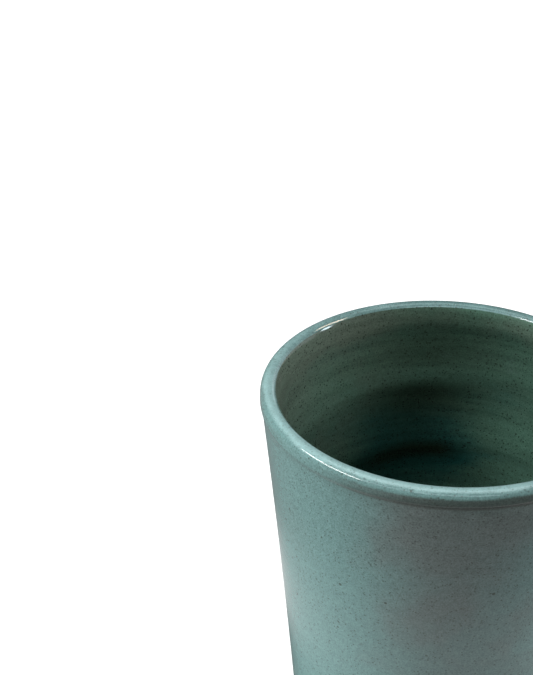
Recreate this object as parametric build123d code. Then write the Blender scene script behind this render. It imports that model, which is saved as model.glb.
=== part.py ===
from build123d import *
import math
import os

# Brush holder pot: a wheel-thrown stoneware cup with a rolled rim, glazed outside and inside.
# The origin is the centre of the foot, +Z points up through the mouth. Millimetres.
# Three nodes: the fired clay body, the glaze coat outside and the glaze coat inside.
# All three are turned about the Z axis, and the coats share their faces with the clay.

# Overall size
height = 110.0
rim_radius = 45.0
foot_radius = 34.5

# Glaze
glaze = 0.4
glaze_line = 4.5

# Rolled rim: a round bead that stands a little proud of the wall
bead_radius = 2.15
bead_under_angle = -48.0
seam_angle = 135.0
neck_height = 104.8
neck_radius = 44.5
crease_height = 105.5
crease_radius = 44.2

# Wall: the outside bows slightly inwards between foot and neck
wall_bow = 0.42
floor_wall = 4.9

# Inside: broad finger grooves down to a rounded corner and a flat floor
groove_count = 5
groove_depth = 0.35
floor_height = 8.0
corner_radius = 9.0

# Foot: a bevelled edge outside, and a shallow recess that leaves a ring to stand on
bevel_height = 2.5
bevel_inset = 1.1
ring_width = 5.5
recess_depth = 2.0
recess_slope = 1.0

# Values worked out from the driving dimensions
bead_x = rim_radius - bead_radius
bead_z = height - bead_radius
corner_z = floor_height + corner_radius
inside_foot = foot_radius + (neck_radius - foot_radius) * corner_z / neck_height - floor_wall
inside_slope = math.degrees(math.atan2(bead_x - bead_radius - inside_foot, bead_z - corner_z))
corner_x = inside_foot - corner_radius


def polar(x, z, radius, degrees):
    """The point at an angle on a circle about (x, z)."""
    angle = math.radians(degrees)
    return (x + radius * math.cos(angle), z + radius * math.sin(angle))


def wall_point(z, inset):
    """The outside of the wall at height z, moved inwards by inset."""
    t = z / neck_height
    radius = foot_radius + (neck_radius - foot_radius) * t - wall_bow * 4 * t * (1 - t)
    return (radius - inset, z)


def wall_arc(low, high, inset):
    """The outside of the wall between two heights."""
    middle = (low + high) / 2
    return ThreePointArc(wall_point(low, inset), wall_point(middle, inset), wall_point(high, inset))


def bead_arc(start, end, inset):
    """The rim bead's section between two angles, made smaller by inset."""
    radius = bead_radius - inset
    middle = (start + end) / 2
    points = [polar(bead_x, bead_z, radius, angle) for angle in (start, middle, end)]
    return ThreePointArc(*points)


def outside_edges(inset, low):
    """The outside from height low, up over the crest of the rim to the seam between the coats."""
    under_bead = polar(bead_x, bead_z, bead_radius - inset, bead_under_angle)
    crease = (crease_radius - inset, crease_height)
    return [
        wall_arc(low, neck_height, inset),
        ThreePointArc(wall_point(neck_height, inset), crease, under_bead),
        bead_arc(bead_under_angle, seam_angle, inset),
    ]


def groove_edges(top, bottom):
    """The finger grooves between two points of the inside wall."""
    span_x = (bottom[0] - top[0]) / groove_count
    span_z = (bottom[1] - top[1]) / groove_count
    edges = []
    for i in range(groove_count):
        start = (top[0] + i * span_x, top[1] + i * span_z)
        end = (start[0] + span_x, start[1] + span_z)
        deepest = ((start[0] + end[0]) / 2 + groove_depth, (start[1] + end[1]) / 2)
        edges.append(ThreePointArc(start, deepest, end))
    return edges


def inside_edges(inset):
    """The inside from the seam between the coats down to the middle of the floor."""
    top = (bead_x - bead_radius + inset, bead_z)
    radius = corner_radius + inset
    corner_points = [
        polar(corner_x, corner_z, radius, -inside_slope),
        polar(corner_x, corner_z, radius, -45),
        polar(corner_x, corner_z, radius, -90),
    ]
    return [
        bead_arc(seam_angle, 180, inset),
        *groove_edges(top, corner_points[0]),
        ThreePointArc(*corner_points),
        Line(corner_points[2], (0, floor_height - inset)),
    ]


def turned(edges):
    """The solid that a closed outline sweeps about the Z axis."""
    return revolve(Plane.XZ * make_face(edges), axis=Axis.Z)


def seam_line():
    """The cut through the glaze on the rim's inner shoulder, where the two coats meet."""
    outer_end = polar(bead_x, bead_z, bead_radius, seam_angle)
    inner_end = polar(bead_x, bead_z, bead_radius - glaze, seam_angle)
    return Line(outer_end, inner_end)


def stoneware_body():
    """The fired clay: wall, rim core, floor and the bare turned foot."""
    wall_foot = wall_point(bevel_height, glaze)
    ring_outer = (foot_radius - glaze - bevel_inset, 0)
    ring_inner = (ring_outer[0] - ring_width, 0)
    recess_edge = (ring_inner[0] - recess_slope, recess_depth)
    foot = Polyline((0, recess_depth), recess_edge, ring_inner, ring_outer, wall_foot)
    return turned(
        [
            foot,
            wall_arc(bevel_height, glaze_line, glaze),
            *outside_edges(glaze, glaze_line),
            *inside_edges(glaze),
            Line((0, floor_height - glaze), (0, recess_depth)),
        ]
    )


def outer_glaze():
    """The coat outside, from its rounded lower edge above the foot, over the rim to the seam."""
    top_of_edge = glaze_line + glaze
    edge_bulge = (wall_point(glaze_line, glaze * 0.3)[0], glaze_line + glaze * 0.3)
    lower_edge = ThreePointArc(
        wall_point(glaze_line, glaze), edge_bulge, wall_point(top_of_edge, 0)
    )
    return turned(
        [
            lower_edge,
            *outside_edges(0, top_of_edge),
            seam_line(),
            *outside_edges(glaze, glaze_line),
        ]
    )


def inner_glaze():
    """The coat inside, from the seam on the rim down over the wall and the floor."""
    return turned(
        [
            seam_line(),
            *inside_edges(0),
            Line((0, floor_height), (0, floor_height - glaze)),
            *inside_edges(glaze),
        ]
    )


def main():
    os.makedirs("parts", exist_ok=True)
    export_step(stoneware_body(), "parts/stoneware_body.step")
    export_step(outer_glaze(), "parts/outer_glaze.step")
    export_step(inner_glaze(), "parts/inner_glaze.step")


main()
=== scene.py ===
import math
import bpy
import numpy as np
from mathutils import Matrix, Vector


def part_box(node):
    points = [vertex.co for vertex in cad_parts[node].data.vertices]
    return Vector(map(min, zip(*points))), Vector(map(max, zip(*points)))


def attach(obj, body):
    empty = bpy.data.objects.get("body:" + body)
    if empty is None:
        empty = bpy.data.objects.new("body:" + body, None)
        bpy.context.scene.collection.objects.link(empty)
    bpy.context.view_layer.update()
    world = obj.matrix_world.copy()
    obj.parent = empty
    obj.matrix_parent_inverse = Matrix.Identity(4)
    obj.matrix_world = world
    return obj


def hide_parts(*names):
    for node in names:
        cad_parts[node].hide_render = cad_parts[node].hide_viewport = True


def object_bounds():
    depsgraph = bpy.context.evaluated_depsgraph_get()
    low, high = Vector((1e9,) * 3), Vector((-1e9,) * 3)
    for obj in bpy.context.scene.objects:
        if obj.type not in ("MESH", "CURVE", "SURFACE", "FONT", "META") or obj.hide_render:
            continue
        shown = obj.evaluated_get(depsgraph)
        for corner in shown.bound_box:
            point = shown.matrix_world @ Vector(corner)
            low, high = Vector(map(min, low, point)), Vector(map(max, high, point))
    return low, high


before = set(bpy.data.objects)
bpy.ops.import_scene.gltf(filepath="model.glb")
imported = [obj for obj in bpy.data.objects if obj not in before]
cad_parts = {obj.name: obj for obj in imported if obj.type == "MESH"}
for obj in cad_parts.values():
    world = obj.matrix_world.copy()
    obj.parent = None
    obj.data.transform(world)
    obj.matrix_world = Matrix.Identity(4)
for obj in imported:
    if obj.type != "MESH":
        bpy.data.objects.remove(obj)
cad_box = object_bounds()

# A thrown pot: fired clay, a glaze coat outside and a glaze coat inside. Each is one turned
# surface with the maker's unevenness in it. Lengths are in millimetres until a mesh is made.
# Azimuth is the angle round the pot from +X towards +Y.
MM = 0.001

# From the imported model
OUTER_LOW, OUTER_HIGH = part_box("outer_glaze")
INNER_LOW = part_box("inner_glaze")[0]
RIM_RADIUS = OUTER_HIGH.x / MM
HEIGHT = OUTER_HIGH.z / MM
GLAZE_LINE = OUTER_LOW.z / MM
CLAY_FLOOR = INNER_LOW.z / MM

# Glaze coat
GLAZE = 0.4
FLOOR = CLAY_FLOOR + GLAZE

# Rim bead: an oval section, drawn down to the wall on both sides
BEAD_HALF_WIDTH = 2.13
BEAD_RISE = 2.15
BEAD_DROP = 3.77
INNER_DROP = 1.8
INNER_START = math.radians(112)
BEAD_X = RIM_RADIUS - BEAD_HALF_WIDTH
BEAD_Z = HEIGHT - BEAD_RISE
INNER_TOP = BEAD_Z - INNER_DROP
SEAM_ANGLE = math.radians(135)

# The lip that stands in at one side, and the crease under the bead at another
LIP_REACH = 0.6
LIP_HEIGHT = 5.0
CREASE_Z = BEAD_Z - 2.2
CREASE_WIDTH = 0.42
CREASE_DEPTH = 0.15
CREASED_BLEND = 0.06
SMOOTH_BLEND = 0.46

# Wall
FOOT_RADIUS = 34.5
NECK_RADIUS = 44.5
NECK_Z = 104.8
WALL_BOW = 0.42
THROWING_PITCH = 6.5
THROWING_DEPTH = 0.010

# Inside
INSIDE_FOOT_RADIUS = 31.13
CORNER_RADIUS = 9.0
CORNER_Z = 16.06
GROOVE_PITCH = 20.0
GROOVE_DEPTH = 0.75
RIDGE_Z = 89.5
RIDGE_AZIMUTH = math.radians(99)
FLOOR_LIFT = 0.25
FLOOR_PITCH = 6.0
FLOOR_RIDGE = 0.11
BUTTON_HEIGHT = 0.5
BUTTON_RADIUS = 4.5

# Foot
RING_OUTER = 33.0
RING_INNER = 27.5
RECESS_EDGE = 26.4
RECESS_DEPTH = 2.0
EDGE_ROUND = 0.7

# Where round the pot each mark is centred, and how far it reaches to each side, in degrees
MARKS = {
    "inner_lip": (185, 120),
    "crease": (300, 105),
    # painted light on the rim's left and front
    "lit_rim": (235, 150),
    # painted shade under the bead at the front
    "under_bead_shade": (292, 84),
    # real pooling in the grooves, and painted shade under the ridges
    "ridge_pools_and_shade": (85, 95),
    # painted shade: a dark run at the back
    "back_shade_run": (103, 43),
    # painted light
    "light_patch": (66, 22),
    # painted shade on the front
    "front_shade": (274, 62),
    # painted reflection on the left inside
    "left_sheen": (165, 75),
    # painted shade in the crease
    "crease_shade": (285, 85),
    # painted shade at the back inside: a band under the rim, a patch and a crescent
    "rim_shadow_band": (98, 60),
    "back_shade_patch": (100, 42),
    "crescent_shade": (105, 31),
}

SEGMENTS = 360
AZIMUTH = np.linspace(0.0, 2 * math.pi, SEGMENTS, endpoint=False)


# ---- Shapes -----------------------------------------------------------------


def waver(azimuth, amplitude, lowest, highest, seed):
    """A smooth closed waver round the pot: a few whole waves with seeded sizes and phases."""
    random = np.random.default_rng(seed)
    total = np.zeros_like(azimuth)
    weights = 0.0
    for waves in range(lowest, highest + 1):
        weight = random.uniform(0.5, 1.0) / waves**0.7
        total += weight * np.cos(waves * azimuth + random.uniform(0, 2 * math.pi))
        weights += weight
    return amplitude * total / weights


def near(azimuth, mark):
    """1 at the middle of a mark, falling smoothly to 0 at its ends."""
    middle, reach = (math.radians(degrees) for degrees in MARKS[mark])
    turn = (azimuth - middle + math.pi) % (2 * math.pi) - math.pi
    return rise(1 - np.abs(turn) / reach, 0, 1)


def bump(value, middle, width):
    """A rounded hump of height 1 about middle."""
    return np.exp(-(((value - middle) / width) ** 2))


def eased(share):
    """A share from 0 to 1 that leaves and arrives gently."""
    return share * share * (3 - 2 * share)


def rise(value, low, high):
    """0 up to low, then smoothly to 1 at high."""
    return eased(np.clip((value - low) / (high - low), 0, 1))


def inner_lip(azimuth):
    """How much further in the rim's inner side stands at the left than elsewhere."""
    return LIP_REACH * near(azimuth, "inner_lip")


def out_of_round(azimuth):
    """How far the whole pot pulls in from a true circle."""
    return waver(azimuth, 0.05, 2, 4, 11) - 0.05


def rim_dip(azimuth):
    """How far the rim lies below its highest place."""
    return waver(azimuth, 0.06, 2, 5, 12) - 0.06


def throwing_lines(azimuth, z):
    """The faint spiral that the thrower's fingers leave outside."""
    turn = 2 * math.pi * z / THROWING_PITCH + azimuth
    slow = 0.5 + 0.5 * np.sin(2 * math.pi * z / 41.0 + 1.3)
    fine = 0.5 * THROWING_DEPTH * np.cos(2.7 * turn - 2.7 * azimuth + azimuth * 3)
    return THROWING_DEPTH * np.cos(turn) * slow + fine


def outside_radius(azimuth, z):
    """The glazed outside from the foot up to the middle of the rim bead."""
    t = z / NECK_Z
    wall = FOOT_RADIUS + (NECK_RADIUS - FOOT_RADIUS) * t - WALL_BOW * 4 * t * (1 - t)
    wall = wall + throwing_lines(azimuth, z) * np.clip((CREASE_Z - z) / 4, 0, 1)
    below = np.clip((BEAD_Z - z) / BEAD_DROP, 0, 1)
    bead = np.where(below < 1, BEAD_X + BEAD_HALF_WIDTH * np.sqrt(1 - below**2), 0)
    # a join of the wall and the bead, smooth except where a tool left a crease between them
    creased = near(azimuth, "crease")
    blend = CREASED_BLEND + (SMOOTH_BLEND - CREASED_BLEND) * (1 - creased)
    joined = 0.5 * (wall + bead + np.sqrt((wall - bead) ** 2 + blend**2))
    joined = np.minimum(joined, RIM_RADIUS)
    crease = CREASE_DEPTH * creased * bump(z, CREASE_Z, CREASE_WIDTH)
    return joined - crease + out_of_round(azimuth)


def bead_point(azimuth, angle, inset):
    """Radius and height of the rim bead, at an angle round its section from outside to inside."""
    swell = 1 + 0.03 * np.cos(3 * azimuth + 2 * angle + 0.7) * np.sin(angle) ** 2
    x = BEAD_X + (BEAD_HALF_WIDTH - inset) * np.cos(angle) * swell + out_of_round(azimuth)
    z = BEAD_Z + (BEAD_RISE - inset) * np.sin(angle) + rim_dip(azimuth) * np.sin(angle)
    inner = max(0, angle - INNER_START) / (math.pi - INNER_START)
    share = 1 - math.cos(inner * math.pi / 2)
    return x - inner_lip(azimuth) * share, z - INNER_DROP * share


def groove_turn(azimuth, z):
    """Where a point lies across the spiral finger groove inside: whole turns are the ridges."""
    return 2 * math.pi * (z - RIDGE_Z) / GROOVE_PITCH + (azimuth - RIDGE_AZIMUTH)


def inside_radius(azimuth, z):
    """The glazed inside below the rim bead and above the corner."""
    top = BEAD_X - BEAD_HALF_WIDTH
    t = (INNER_TOP - z) / (INNER_TOP - CORNER_Z)
    lip = inner_lip(azimuth) * bump(z, INNER_TOP, LIP_HEIGHT)
    chord = top + (INSIDE_FOOT_RADIUS - top) * t - lip
    turn = groove_turn(azimuth, z)
    groove = GROOVE_DEPTH * 0.5 * (1 - np.cos(turn + 0.35 * np.sin(turn)))
    fine = 0.03 * np.cos(8 * turn - 7 * azimuth) * (0.6 + 0.4 * np.cos(0.31 * z + azimuth))
    fade = np.clip((INNER_TOP - z) / 6, 0, 1) * np.clip((z - CORNER_Z + 4) / 8, 0, 1)
    return chord + (groove + fine) * eased(fade) + out_of_round(azimuth)


def floor_height(azimuth, radius):
    """The glazed floor: a flat spiral round a low button in the middle."""
    spiral = FLOOR_RIDGE * np.cos(2 * math.pi * radius / FLOOR_PITCH - azimuth)
    fade = np.clip(radius / 7, 0, 1) * np.clip((22 - radius) / 5, 0, 1)
    return FLOOR + FLOOR_LIFT + spiral * fade + BUTTON_HEIGHT * bump(radius, 0, BUTTON_RADIUS)


# ---- How the glaze lies, with painted light and shade -------------------------


def rim_thinning_and_light(azimuth, angle):
    """How much lighter the rim is, at an angle round the bead's section: glaze run thin off the
    crest all round, and painted light on the left and front.
    """
    return (0.35 + 0.50 * near(azimuth, "lit_rim")) * math.sin(angle) ** 2


def bead_shade(azimuth, z):
    """Painted shade under the bead at the front, and a little below it, laid in as thicker glaze.
    """
    under = rise(z, CREASE_Z - 0.25, CREASE_Z + 0.15) * (1 - rise(z, BEAD_Z + 0.1, BEAD_Z + 1.2))
    below = bump(z, CREASE_Z, 9.0) * (1 - rise(z, CREASE_Z, BEAD_Z))
    return near(azimuth, "under_bead_shade") * (0.88 * under + 0.30 * below)


def groove_pooling_and_shade(azimuth, z):
    """Glaze thicker below each finger ridge inside, most at the back: real pooling, and painted
    shade under the ridges. Painted shade at the back as one dark run that thins towards the floor,
    and a painted patch of light beside it."""
    turn = groove_turn(azimuth, z)
    ridges = -0.06 * np.cos(turn) - 0.22 * np.sin(turn)
    ridges = ridges * (0.30 + 0.70 * near(azimuth, "ridge_pools_and_shade"))
    # painted shade: a dark run down the back wall, halved below it
    across = np.minimum(1, 1.3 * near(azimuth, "back_shade_run"))
    shade_run = 0.95 * across * (1 - rise(z, 74, 83))
    tail = 0.5 * across
    # painted light: a paler patch beside the run
    paler = 0.40 * near(azimuth, "light_patch") * bump(z, 63.5, 3.2)
    share = rise(z, 61.5, 66)
    return ridges * min(1, (INNER_TOP - z) / 6) + shade_run * share + tail * (1 - share) - paler


def outside_tone_and_shade(azimuth, z):
    """Painted shade: the front greyer and darker where little light falls, over a random greying
    round the pot, and a dark line painted into the crease under the bead.
    """
    # painted shade: the side towards the front greyed and darkened, more so higher up
    patch = near(azimuth, "front_shade") * (0.55 + 0.45 * np.clip((z - 40) / 60, 0, 1))
    patch = patch * (1 - rise(z, BEAD_Z, BEAD_Z + 0.7))
    # painted shade: a dark line in the crease under the bead at the front
    painted_shade = 0.65 * near(azimuth, "crease_shade") * bump(z, CREASE_Z + 0.1, 0.5)
    return {"greying_shade_and_sheen": np.clip(patch + waver(azimuth, 0.25, 2, 5, 31), 0, 1), "painted_shade": painted_shade}


def inside_shade_and_sheen(azimuth, z):
    """Painted reflection greys the left and a band just below the rim, and painted shade darkens
    the back: a band under the rim, a patch over the dark run and a crescent below it."""
    # painted reflection: the left inside greyed, more so higher up, and a grey band just under the
    # rim all round
    patch = near(azimuth, "left_sheen") * (0.30 + 0.70 * np.clip((z - 60) / 45, 0, 1))
    greying_shade_and_sheen = np.clip(patch + 0.35 * bump(z, BEAD_Z - 2, 3.5), 0, 1)
    # painted shade at the back inside: a shadow band under the rim, a patch over the dark run and
    # a crescent below it
    band = 0.72 * near(azimuth, "rim_shadow_band") * rise(z, 86, 95) * (1 - 0.25 * rise(z, 99, 105))
    shade_run = near(azimuth, "back_shade_patch") * (0.52 + 0.38 * rise(z, 76, 84))
    shade_run = shade_run * rise(z, 64, 76) * (1 - rise(z, 85, 90))
    aside = np.clip(np.degrees(azimuth) % 360 - MARKS["crescent_shade"][0], 0, 30)
    crescent = 0.95 * np.minimum(1, 1.6 * near(azimuth, "crescent_shade"))
    crescent = crescent * bump(z, 67.3 - 0.12 * aside, 2.8)
    return {"greying_shade_and_sheen": greying_shade_and_sheen, "painted_shade": np.clip(band + shade_run + crescent, 0, 1)}


def clay_untinted(azimuth, z):
    """Clay has no glaze to colour."""
    return {"greying_shade_and_sheen": 0 * azimuth, "painted_shade": 0 * azimuth}


# ---- Meshes -----------------------------------------------------------------


def ring(radius, z):
    """One row of points round the pot."""
    radius = np.broadcast_to(radius, AZIMUTH.shape)
    z = np.broadcast_to(z, AZIMUTH.shape)
    return np.stack([radius * np.cos(AZIMUTH), radius * np.sin(AZIMUTH), z], 1)


def strips(rows):
    """Faces between each row and the next. A row of one point closes an end, and where the first
    row has more, a last strip joins the last row to it."""
    starts = np.cumsum([0] + [len(row) for row in rows]).tolist()
    around = [(i, (i + 1) % SEGMENTS) for i in range(SEGMENTS)]
    pairs = [(low, low + 1) for low in range(len(rows) - 1)]
    if len(rows[0]) > 1:
        pairs.append((len(rows) - 1, 0))
    faces = []
    for low, high in pairs:
        a, b = starts[low], starts[high]
        if len(rows[low]) == 1:
            faces += [(a, b + j, b + i) for i, j in around]
        elif len(rows[high]) == 1:
            faces += [(a + i, a + j, b) for i, j in around]
        else:
            faces += [(a + i, a + j, b + j, b + i) for i, j in around]
    return faces


def sharp_edges(mesh, rows, corners):
    """True for each edge that runs along one of the corner rows."""
    row_of = np.concatenate([np.full(len(row), index) for index, row in enumerate(rows)])
    ends = np.zeros(len(mesh.edges) * 2, int)
    mesh.edges.foreach_get("vertices", ends)
    edge_rows = row_of[ends.reshape(-1, 2)]
    return (edge_rows[:, 0] == edge_rows[:, 1]) & np.isin(edge_rows[:, 0], corners)


def turned_mesh(name, rows, corners, glaze_depth_and_light, tone_and_light):
    """A closed piece from rows of points.

    corners are the indexes of rows that stay sharp. glaze_depth_and_light is one number a row, or
    one a point, saying how thick the glaze lies there, raised where painted shade is laid in and
    lowered where painted light is, and tone_and_light(azimuth, z) how far it is greyed and
    darkened: random tone, painted shade and painted reflection. The glaze material reads all
    three."""
    points = np.concatenate(rows)
    mesh = bpy.data.meshes.new(name)
    mesh.from_pydata((points * MM).tolist(), [], strips(rows))
    mesh.validate()
    mesh.shade_smooth()
    sharp = sharp_edges(mesh, rows, corners)
    mesh.attributes.new("sharp_edge", "BOOLEAN", "EDGE").data.foreach_set("value", sharp)
    x, y, z = points.T
    glaze = tone_and_light(np.arctan2(y, x), z)
    glaze["glaze_depth_and_light"] = np.concatenate([np.broadcast_to(d, len(row)) for d, row in zip(glaze_depth_and_light, rows)])
    for key, values in glaze.items():
        mesh.attributes.new(key, "FLOAT", "POINT").data.foreach_set("value", values)
    piece = bpy.data.objects.new(name, mesh)
    bpy.context.scene.collection.objects.link(piece)
    return piece


def spaced(low, high, step):
    """Evenly spaced values from low to high, about step apart."""
    return np.linspace(low, high, max(2, int(round(abs(high - low) / step)) + 1))


def hidden_heights(low, step):
    """Heights behind the glaze from low to the bead's middle, close together by the crease."""
    above = CREASE_Z - 1.6
    return np.concatenate([spaced(low, above, step), spaced(above, BEAD_Z, 0.3)[1:]])


def outer_glaze_coat():
    """The outside coat: a thick rounded lower edge, the wall, and the bead to the seam."""
    line = GLAZE_LINE + 0.6 + waver(AZIMUTH, 0.75, 2, 9, 21)
    roll = 0.16 + waver(AZIMUTH, 0.08, 3, 12, 22)
    rows, glaze_depth_and_light = [], []
    edge = np.concatenate([spaced(0, 0.4, 0.05), spaced(0.5, 3.0, 0.12)])
    for above in edge:
        z = line + above
        coat = GLAZE * np.sqrt(np.clip(1 - (1 - min(above / 0.4, 1)) ** 2, 0, 1))
        swell = roll * bump(above, 0.9, 0.8) * min(above / 0.3, 1)
        rows.append(ring(outside_radius(AZIMUTH, z) - GLAZE + coat + swell, z))
        thinned = 0.35 * (1 - rise(above, 1.5, 3.0))
        glaze_depth_and_light.append(1 - thinned + 0.5 * bump(above, 0.9, 0.9) - 0.4 * bump(above, 0.0, 0.25))
    lowest = line + edge[-1]
    share = np.concatenate([spaced(0, 0.97, 0.0062)[1:], spaced(0.97, 1, 0.0021)[1:]])
    for t in share:
        z = lowest + (BEAD_Z - lowest) * t
        rows.append(ring(outside_radius(AZIMUTH, z), z))
        # painted shade under the bead, laid in as thicker glaze
        glaze_depth_and_light.append(1 + bead_shade(AZIMUTH, z))
    for angle in spaced(0, SEAM_ANGLE, math.radians(4.5))[1:]:
        rows.append(ring(*bead_point(AZIMUTH, angle, 0)))
        pooled_and_shade = bead_shade(AZIMUTH, rows[-1][:, 2]) * (angle < math.radians(60))
        glaze_depth_and_light.append(1 + pooled_and_shade - rim_thinning_and_light(AZIMUTH, angle))
    seam = len(rows) - 1
    for angle in spaced(SEAM_ANGLE, 0, math.radians(15)):
        rows.append(ring(*bead_point(AZIMUTH, angle, GLAZE)))
        glaze_depth_and_light.append(1)
    for z in hidden_heights(line.max() + 1, 5.0)[::-1][1:]:
        rows.append(ring(outside_radius(AZIMUTH, z) - GLAZE, z))
        glaze_depth_and_light.append(1)
    return turned_mesh("outer_glaze_coat", rows, [0, seam, seam + 1], glaze_depth_and_light, outside_tone_and_shade)


def inside_rows(inset, step, angle_step):
    """Rows from the seam down the inside to just short of the middle, and the glaze's depth, with
    painted shade and painted light laid into it.
    """
    rows, glaze_depth_and_light = [], []
    for angle in spaced(SEAM_ANGLE, math.pi, angle_step):
        rows.append(ring(*bead_point(AZIMUTH, angle, inset)))
        glaze_depth_and_light.append(1 - rim_thinning_and_light(AZIMUTH, angle))
    for z in spaced(INNER_TOP, CORNER_Z, step)[1:]:
        rows.append(ring(inside_radius(AZIMUTH, z) + inset, np.full(SEGMENTS, z)))
        glaze_depth_and_light.append(1 + groove_pooling_and_shade(AZIMUTH, z))
    corner_x = INSIDE_FOOT_RADIUS - CORNER_RADIUS
    corner_z = FLOOR + CORNER_RADIUS
    start = inside_radius(AZIMUTH, CORNER_Z) - INSIDE_FOOT_RADIUS
    for angle in spaced(math.radians(6), math.radians(90), step / CORNER_RADIUS)[1:]:
        radius = corner_x + (CORNER_RADIUS + inset) * math.cos(angle)
        left = 1 - angle / math.radians(90)
        z = corner_z - (CORNER_RADIUS + inset) * math.sin(angle)
        lift = (floor_height(AZIMUTH, radius) - FLOOR) * (1 - left) ** 2
        rows.append(ring(radius + start * left, z + lift))
        glaze_depth_and_light.append(1.3 - 0.3 * left)
    for radius in spaced(corner_x, 0.6, step)[1:]:
        rows.append(ring(radius, floor_height(AZIMUTH, radius) - inset))
        glaze_depth_and_light.append(1.15)
    return rows, glaze_depth_and_light


def inner_glaze_coat():
    """The inside coat: from the seam over the rim's inner edge, the wall and the floor."""
    shown, shown_depth = inside_rows(0, 0.62, math.radians(3))
    hidden, hidden_depth = inside_rows(GLAZE, 5.0, math.radians(15))
    centre = floor_height(AZIMUTH, np.array(0.0)).mean()
    rows = [np.array([[0, 0, centre - GLAZE]])] + hidden[::-1] + shown
    rows += [np.array([[0, 0, centre]])]
    glaze_depth_and_light = [1] + hidden_depth[::-1] + shown_depth + [1.15]
    seam = len(hidden)
    return turned_mesh("inner_glaze_coat", rows, [seam, seam + 1], glaze_depth_and_light, inside_shade_and_sheen)


def foot_profile():
    """The bare foot from the middle of its recess over the ring, as (radius, height)."""
    points = []
    for radius in spaced(0.6, RECESS_EDGE - EDGE_ROUND, 0.5):
        turning = 0.05 * math.cos(2 * math.pi * radius / 2.3) + 0.25 * bump(radius, 0, 3)
        points.append((radius, RECESS_DEPTH + turning))
    for angle in spaced(math.radians(90), 0, math.radians(15))[1:]:
        x = RECESS_EDGE - EDGE_ROUND + EDGE_ROUND * math.cos(angle)
        points.append((x, RECESS_DEPTH - EDGE_ROUND + EDGE_ROUND * math.sin(angle)))
    for angle in spaced(math.radians(180), math.radians(270), math.radians(15)):
        x = RING_INNER - 0.4 + EDGE_ROUND + EDGE_ROUND * math.cos(angle)
        points.append((x, EDGE_ROUND + EDGE_ROUND * math.sin(angle)))
    for radius in spaced(RING_INNER + 0.9, RING_OUTER - EDGE_ROUND, 0.45):
        points.append((radius, 0.0))
    for angle in spaced(math.radians(-90), math.radians(-25), math.radians(11))[1:]:
        x = RING_OUTER - EDGE_ROUND + EDGE_ROUND * math.cos(angle)
        points.append((x, EDGE_ROUND + EDGE_ROUND * math.sin(angle)))
    return points


def clay_body():
    """The fired clay: only its turned foot shows, and the rest stands behind the glaze."""
    rows = [np.array([[0, 0, RECESS_DEPTH + 0.25]])]
    for radius, z in foot_profile():
        lift = 0.03 * np.cos(AZIMUTH + radius) if z > EDGE_ROUND else 0.0
        rows.append(ring(radius, z + lift))
    wall_start = 2.6
    for z in spaced(0.9, wall_start, 0.28):
        t = (z - 0.4) / (wall_start - 0.4)
        target = outside_radius(AZIMUTH, z) - GLAZE
        rows.append(ring(RING_OUTER + (target - RING_OUTER) * t**0.8, z))
    for z in spaced(wall_start, 12, 0.45)[1:]:
        marks = 0.03 * np.cos(2 * math.pi * z / 1.3 + AZIMUTH) * np.clip((4.0 - z), 0, 1)
        rows.append(ring(outside_radius(AZIMUTH, z) - GLAZE + marks, z))
    for z in hidden_heights(12, 3.2)[1:]:
        rows.append(ring(outside_radius(AZIMUTH, z) - GLAZE, z))
    for angle in spaced(0, SEAM_ANGLE, math.radians(15))[1:]:
        rows.append(ring(*bead_point(AZIMUTH, angle, GLAZE)))
    rows += inside_rows(GLAZE, 4.0, math.radians(15))[0][1:]
    centre = floor_height(AZIMUTH, np.array(0.0)).mean()
    rows.append(np.array([[0, 0, centre - GLAZE]]))
    return turned_mesh("stoneware_pot", rows, [], [0] * len(rows), clay_untinted)


# ---- Materials --------------------------------------------------------------


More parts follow.
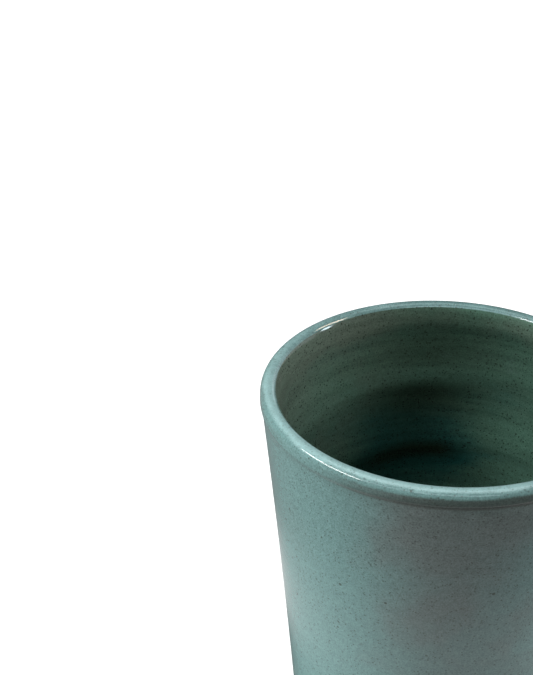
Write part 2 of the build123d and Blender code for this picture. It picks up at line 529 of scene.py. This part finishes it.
class Shader:
    """Adds nodes to one material. A socket given as an input is linked, anything else is set."""

    def __init__(self, name):
        self.material = bpy.data.materials.new(name)
        self.material.use_nodes = True
        self.tree = self.material.node_tree
        self.surface = self.tree.nodes["Principled BSDF"]

    def node(self, kind, inputs, **settings):
        made = self.tree.nodes.new("ShaderNode" + kind)
        for key, value in settings.items():
            setattr(made, key, value)
        for key, value in inputs.items():
            self.fill(made.inputs[key], value)
        return made

    def fill(self, socket, value):
        if isinstance(value, bpy.types.NodeSocket):
            self.tree.links.new(value, socket)
        else:
            socket.default_value = value

    def math(self, operation, first, second):
        return self.node("Math", {0: first, 1: second}, operation=operation).outputs[0]

    def mapped(self, value, low, high, new_low, new_high):
        """value from low..high smoothly to new_low..new_high, held at the ends."""
        inputs = {
            "Value": value,
            "From Min": low,
            "From Max": high,
            "To Min": new_low,
            "To Max": new_high,
        }
        made = self.node("MapRange", inputs, interpolation_type="SMOOTHSTEP")
        return made.outputs["Result"]

    def mix(self, factor, first, second, blend="MIX"):
        inputs = {"Factor": factor, 6: first, 7: second}
        made = self.node("Mix", inputs, data_type="RGBA", blend_type=blend)
        return made.outputs[2]

    def attribute(self, name):
        return self.node("Attribute", {}, attribute_name=name).outputs["Fac"]

    def noise(self, place, scale, detail=2.0, roughness=0.5):
        inputs = {"Vector": place, "Scale": scale, "Detail": detail, "Roughness": roughness}
        return self.node("TexNoise", inputs).outputs["Fac"]

    def millimetres(self, stretch=(1.0, 1.0, 1.0)):
        """Object coordinates in millimetres, stretched along each axis."""
        place = self.node("TexCoord", {}).outputs["Object"]
        scale = tuple(s / MM for s in stretch)
        return self.node("Mapping", {"Vector": place, "Scale": scale}).outputs["Vector"]

    def specks(self, place, pitch, size, share):
        """1 inside scattered specks of uneven size. share of the cells, pitch apart, have one."""
        inputs = {"Vector": place, "Scale": 1.0 / pitch, "Randomness": 1.0}
        cells = self.node("TexVoronoi", inputs, feature="F1", distance="EUCLIDEAN")
        parts = self.node("SeparateColor", {"Color": cells.outputs["Color"]})
        uneven = self.math("POWER", parts.outputs["Green"], 2.0)
        radius = self.math("MULTIPLY", uneven, size / pitch)
        beyond = self.math("SUBTRACT", cells.outputs["Distance"], radius)
        inside = self.mapped(beyond, -0.04, 0.03, 1.0, 0.0)
        chosen = self.math("LESS_THAN", parts.outputs["Red"], share)
        return self.math("MULTIPLY", inside, chosen)

    def shaded(self, tint, shade):
        """tint made lighter or darker by a factor."""
        inputs = {"Red": shade, "Green": shade, "Blue": shade}
        grey = self.node("CombineColor", inputs).outputs["Color"]
        return self.mix(1.0, tint, grey, "MULTIPLY")

    def bumps(self, heights):
        """One bump for several (height socket, millimetres high) pairs."""
        normal = None
        for height, tall in heights:
            inputs = {"Height": height, "Distance": tall * MM, "Strength": 1.0}
            if normal is not None:
                inputs["Normal"] = normal
            normal = self.node("Bump", inputs).outputs["Normal"]
        self.fill(self.surface.inputs["Normal"], normal)


def colour(red, green, blue):
    """An opaque linear colour."""
    return (red, green, blue, 1.0)


OUTSIDE = {
    "plain": colour(0.084, 0.149, 0.144),
    # real pooled glaze, and painted shade laid in as thick glaze
    "pooled_and_shade": colour(0.031, 0.046, 0.040),
    "thin_and_lit": colour(0.188, 0.292, 0.288),
    # greyed: random greying, and painted shade on the front
    "greyed": colour(0.085, 0.100, 0.097),
    # painted shadow tint
    "shadow_tint": colour(0.030, 0.036, 0.030),
    "iron": colour(0.030, 0.032, 0.026),
}
# The inside tints are a darker, greener copy of the outside's: painted shade, and the green of
# light bounced round inside the pot.
INSIDE = {
    "plain": colour(0.056, 0.117, 0.086),
    "pooled_and_shade": colour(0.010, 0.074, 0.070),
    "thin_and_lit": colour(0.150, 0.225, 0.222),
    # greyed: painted reflection on the left and just under the rim
    "greyed": colour(0.073, 0.087, 0.070),
    # painted shadow tint
    "shadow_tint": colour(0.014, 0.024, 0.015),
    "iron": colour(0.007, 0.009, 0.006),
}


def glaze_material(name, tints, pooled_and_shade_share, painted_foot_light, brushed, specked):
    """Glossy sage celadon over speckled stoneware, darker where it pools and where shade is
    painted, paler where thin and where light is painted.

    pooled_and_shade_share is how far the pooled tint covers at most, and painted_foot_light how
    much lighter the glaze is painted low down, as painted light. brushed and specked are the
    strengths of the streaks and the fine specks."""
    s = Shader(name)
    place = s.millimetres()
    clouds = s.noise(place, 0.045, 3.0, 0.55)
    streaks = s.noise(s.millimetres((1.0, 1.0, 3.5)), 0.11, 4.0, 0.6)
    wiped = s.noise(s.millimetres((0.06, 0.06, 1.0)), 0.42, 4.0, 0.65)
    mottle = s.noise(place, 0.75, 3.0, 0.6)
    grain = s.noise(place, 2.6, 2.0, 0.6)

    thickness_and_light = s.math("ADD", s.attribute("glaze_depth_and_light"), s.mapped(streaks, 0.3, 0.7, -0.10, 0.10))
    thin_and_lit_share = s.mapped(thickness_and_light, 0.75, 0.25, 0.0, 0.95)
    # random clouds of grey, with painted shade outside and painted reflection inside
    greying = s.math("ADD", s.attribute("greying_shade_and_sheen"), s.mapped(clouds, 0.35, 0.65, -0.20, 0.20))
    tint = s.mix(s.mapped(greying, 0.0, 1.0, 0.0, 0.9), tints["plain"], tints["greyed"])
    # the pooled tint: real pooled glaze, and painted shade
    tint = s.mix(s.mapped(thickness_and_light, 1.0, 1.9, 0.0, pooled_and_shade_share), tint, tints["pooled_and_shade"])
    # painted shade darkens the glaze here
    tint = s.mix(s.attribute("painted_shade"), tint, tints["shadow_tint"])
    # the thin tint: real thin glaze, and painted light on the rim
    tint = s.mix(thin_and_lit_share, tint, tints["thin_and_lit"])

    height = s.node("SeparateXYZ", {"Vector": place}).outputs["Z"]
    # painted light: the glaze made lighter towards the foot
    shade = s.mapped(height, 30.0, 104.0, 1.0 + painted_foot_light, 1.0)
    softened = s.mapped(thin_and_lit_share, 0.0, 1.0, 1.0, 0.45)
    fleck = s.math("MULTIPLY", s.mapped(grain, 0.25, 0.75, -0.22, 0.22), softened)
    shade = s.math("ADD", shade, fleck)
    shade = s.math("ADD", shade, s.mapped(mottle, 0.25, 0.75, -0.07, 0.07))
    shade = s.math("ADD", shade, s.mapped(wiped, 0.3, 0.7, -brushed, brushed))
    tint = s.shaded(tint, shade)

    faint = s.specks(place, 1.1, 0.42, 0.40)
    fine = s.specks(place, 0.56, 0.27, 0.75)
    large = s.specks(place, 2.2, 0.42, 0.16)
    cover = s.math("SUBTRACT", 1.0, s.math("MULTIPLY", thin_and_lit_share, 0.45))
    tint = s.mix(s.math("MULTIPLY", faint, 0.22), tint, tints["iron"])
    tint = s.mix(s.math("MULTIPLY", fine, s.math("MULTIPLY", cover, specked)), tint, tints["iron"])
    tint = s.mix(s.math("MULTIPLY", large, s.math("MULTIPLY", cover, 0.75)), tint, tints["iron"])
    s.fill(s.surface.inputs["Base Color"], tint)

    smooth = s.mapped(s.noise(place, 0.3, 3.0), 0.3, 0.7, 0.09, 0.15)
    smooth = s.math("ADD", smooth, s.math("MULTIPLY", large, 0.10))
    s.fill(s.surface.inputs["Roughness"], smooth)
    s.surface.inputs["IOR"].default_value = 1.5

    peel = s.noise(place, 0.55, 2.0, 0.5)
    lines = s.noise(s.millimetres((0.05, 0.05, 1.0)), 0.9, 3.0, 0.6)
    s.bumps([(lines, 0.004), (peel, 0.010), (grain, 0.003), (large, 0.010)])
    return s.material


def clay_material(name):
    """Bare fired stoneware: sandy buff with grog and iron specks."""
    s = Shader(name)
    place = s.millimetres()
    clouds = s.noise(place, 0.09, 4.0, 0.6)
    sand = s.noise(place, 2.2, 4.0, 0.7)
    base = s.mix(clouds, colour(0.42, 0.32, 0.22), colour(0.55, 0.45, 0.33))
    tint = s.shaded(base, s.mapped(sand, 0.3, 0.7, 0.82, 1.12))
    iron = s.specks(place, 1.3, 0.6, 0.3)
    grog = s.specks(place, 0.9, 0.4, 0.3)
    tint = s.mix(s.math("MULTIPLY", grog, 0.5), tint, colour(0.70, 0.62, 0.50))
    tint = s.mix(s.math("MULTIPLY", iron, 0.75), tint, colour(0.09, 0.05, 0.03))
    s.fill(s.surface.inputs["Base Color"], tint)
    s.fill(s.surface.inputs["Roughness"], s.mapped(sand, 0.3, 0.7, 0.72, 0.92))
    s.bumps([(sand, 0.08), (grog, 0.05)])
    return s.material


def floor_material(name, tone, glow, far_glow, edges, under_rim=1.0):
    """Pale matt paper, lit from within: from glow to far_glow between two distances from the
    middle of the pot, and dimmed to under_rim of that close round the foot. Where the glow falls
    away from the pot it is a painted pool of light, and the dimming round the foot is a painted
    shadow."""
    s = Shader(name)
    place = s.millimetres()
    shade = s.mapped(s.noise(place, 0.02, 2.0), 0.3, 0.7, 0.96, 1.04)
    s.fill(s.surface.inputs["Base Color"], s.shaded(colour(tone, tone, tone), shade))
    s.surface.inputs["Roughness"].default_value = 0.9
    s.surface.inputs["Specular IOR Level"].default_value = 0.1
    s.surface.inputs["Emission Color"].default_value = colour(1, 1, 1)
    away = s.node("VectorMath", {0: place}, operation="LENGTH").outputs["Value"]
    light = s.mapped(away, *edges, glow, far_glow)
    # painted shadow of the pot round its foot
    if under_rim < 1:
        dimmed = s.mapped(away, RIM_RADIUS + 10, RIM_RADIUS + 35, under_rim, 1.0)
        light = s.math("MULTIPLY", light, dimmed)
    s.fill(s.surface.inputs["Emission Strength"], light)
    return s.material


# ---- Stage, light and camera --------------------------------------------------

FLOOR_REACH = 6.0
LAMP_DISTANCE = 1.0
WHITE = (1.0, 1.0, 1.0)

# Camera, matched to the photograph: how far from the rim's middle in rim radii, how high it
# stands, how far it tips from straight down and turns aside, in degrees, and its lens in mm
CAMERA_DISTANCE = 8.205
CAMERA_ELEVATION = 31.23
CAMERA_TILT = 60.61
CAMERA_TURN = 7.89
CAMERA_LENS = 81.5

# Name, azimuth, elevation, width and height in metres, watts, tint, and the rays that miss the
# lamp: one that glossy rays miss lights the pot but isn't mirrored in it, and one that diffuse
# rays miss is only mirrored.
SOFTBOXES = [
    ("key", 200, 4, 0.8, 0.16, 16.8, WHITE, "glossy"),
    ("window", 197, 38, 0.68, 0.12, 6.0, WHITE, None),
    ("front_strip", 264, 48, 1.3, 0.20, 2.4, (0.78, 0.93, 1.0), "diffuse"),
    ("high_left", 195, 58, 0.5, 0.5, 6.5, WHITE, "glossy"),
    ("fill", 344, 18, 0.7, 0.5, 12.5, WHITE, "glossy"),
    ("warm_window", 8, 38, 0.36, 0.14, 3.6, (1.0, 0.78, 0.62), "diffuse"),
    ("cool_window", 3, 17, 0.12, 0.12, 1.3, (0.75, 0.92, 1.0), "diffuse"),
    ("back_right", 45, 14, 1.3, 0.5, 2.2, (0.85, 0.95, 1.0), "diffuse"),
    ("ceiling", 90, 82, 1.0, 0.7, 4.4, (0.85, 0.97, 1.0), None),
]


def add_floor(name, drop, material):
    """A wide pale sheet just under the foot, which glows but lends the pot no diffuse light."""
    mesh = bpy.data.meshes.new(name)
    signs = [(-1, -1), (1, -1), (1, 1), (-1, 1)]
    corners = [(x * FLOOR_REACH, y * FLOOR_REACH, 0) for x, y in signs]
    mesh.from_pydata(corners, [], [(0, 1, 2, 3)])
    floor = bpy.data.objects.new(name, mesh)
    floor.location.z = cad_box[0][2] - drop
    bpy.context.scene.collection.objects.link(floor)
    mesh.materials.append(material)
    floor.visible_diffuse = False
    return floor


def add_softbox(name, azimuth, elevation, width, height, power, tint, missed_by):
    """A rectangular soft light aimed at the upper part of the pot; angles are in degrees."""
    light = bpy.data.lights.new(name, "AREA")
    light.shape = "RECTANGLE"
    light.size = width
    light.size_y = height
    light.energy = power
    light.color = tint
    lamp = bpy.data.objects.new(name, light)
    turn = math.radians(azimuth)
    up = math.radians(elevation)
    out = Vector((math.cos(turn) * math.cos(up), math.sin(turn) * math.cos(up), math.sin(up)))
    target = Vector((0, 0, 0.8 * HEIGHT * MM))
    lamp.location = target + out * LAMP_DISTANCE
    lamp.rotation_euler = (-out).to_track_quat("-Z", "Y").to_euler()
    lamp.visible_camera = False
    lamp.visible_glossy = missed_by != "glossy"
    lamp.visible_diffuse = missed_by != "diffuse"
    bpy.context.scene.collection.objects.link(lamp)


def add_world():
    """White to look at, and a dim pale room as a source of light."""
    world = bpy.data.worlds.new("room")
    world.use_nodes = True
    tree = world.node_tree
    seen = tree.nodes["Background"]
    seen.inputs["Color"].default_value = colour(1, 1, 1)
    room = tree.nodes.new("ShaderNodeBackground")
    room.inputs["Color"].default_value = colour(0.95, 1.0, 1.0)
    room.inputs["Strength"].default_value = 0.05
    rays = tree.nodes.new("ShaderNodeLightPath")
    choose = tree.nodes.new("ShaderNodeMixShader")
    tree.links.new(rays.outputs["Is Camera Ray"], choose.inputs["Fac"])
    tree.links.new(room.outputs[0], choose.inputs[1])
    tree.links.new(seen.outputs[0], choose.inputs[2])
    tree.links.new(choose.outputs[0], tree.nodes["World Output"].inputs["Surface"])
    bpy.context.scene.world = world


def add_camera():
    """Looking down into the mouth from the front, with the pot low and to the right."""
    distance = CAMERA_DISTANCE * RIM_RADIUS
    elevation = math.radians(CAMERA_ELEVATION)
    camera = bpy.data.objects.new("camera", bpy.data.cameras.new("camera"))
    camera.data.lens = CAMERA_LENS
    camera.data.sensor_width = 36.0
    camera.location = Vector(
        (0, -distance * math.cos(elevation), BEAD_Z + distance * math.sin(elevation))
    ) * MM
    camera.rotation_euler = (math.radians(CAMERA_TILT), 0, math.radians(CAMERA_TURN))
    bpy.context.scene.collection.objects.link(camera)
    bpy.context.scene.camera = camera


def finish_piece(piece, node, material):
    """Gives a piece its material and its place in the frame."""
    piece.data.materials.append(material)
    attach(piece, "root")
    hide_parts(node)


outer_celadon = glaze_material(
    "outer_celadon", OUTSIDE, pooled_and_shade_share=0.85, painted_foot_light=0.28, brushed=0.03, specked=0.52
)
inner_celadon = glaze_material(
    "inner_celadon", INSIDE, pooled_and_shade_share=0.9, painted_foot_light=0.0, brushed=0.14, specked=0.7
)
bare_stoneware = clay_material("bare_stoneware")
finish_piece(clay_body(), "stoneware_body", bare_stoneware)
finish_piece(outer_glaze_coat(), "outer_glaze", outer_celadon)
finish_piece(inner_glaze_coat(), "inner_glaze", inner_celadon)

# One floor is seen by the camera alone, and the other only mirrored in the pot
seen_paper = floor_material("seen_paper", 0.5, 0.55, 1.0, (160.0, 450.0))
# the mirrored sheet has a painted pool of light round the pot and a painted shadow under the rim
reflected_paper = floor_material("reflected_paper", 0.25, 0.56, 0.14, (85.0, 125.0), 0.1)
add_floor("floor", 0.0002, seen_paper).visible_glossy = False
add_floor("reflected_floor", 0.0006, reflected_paper).visible_camera = False
add_world()
for softbox in SOFTBOXES:
    add_softbox(*softbox)
add_camera()
bpy.context.scene.view_settings.view_transform = "Standard"
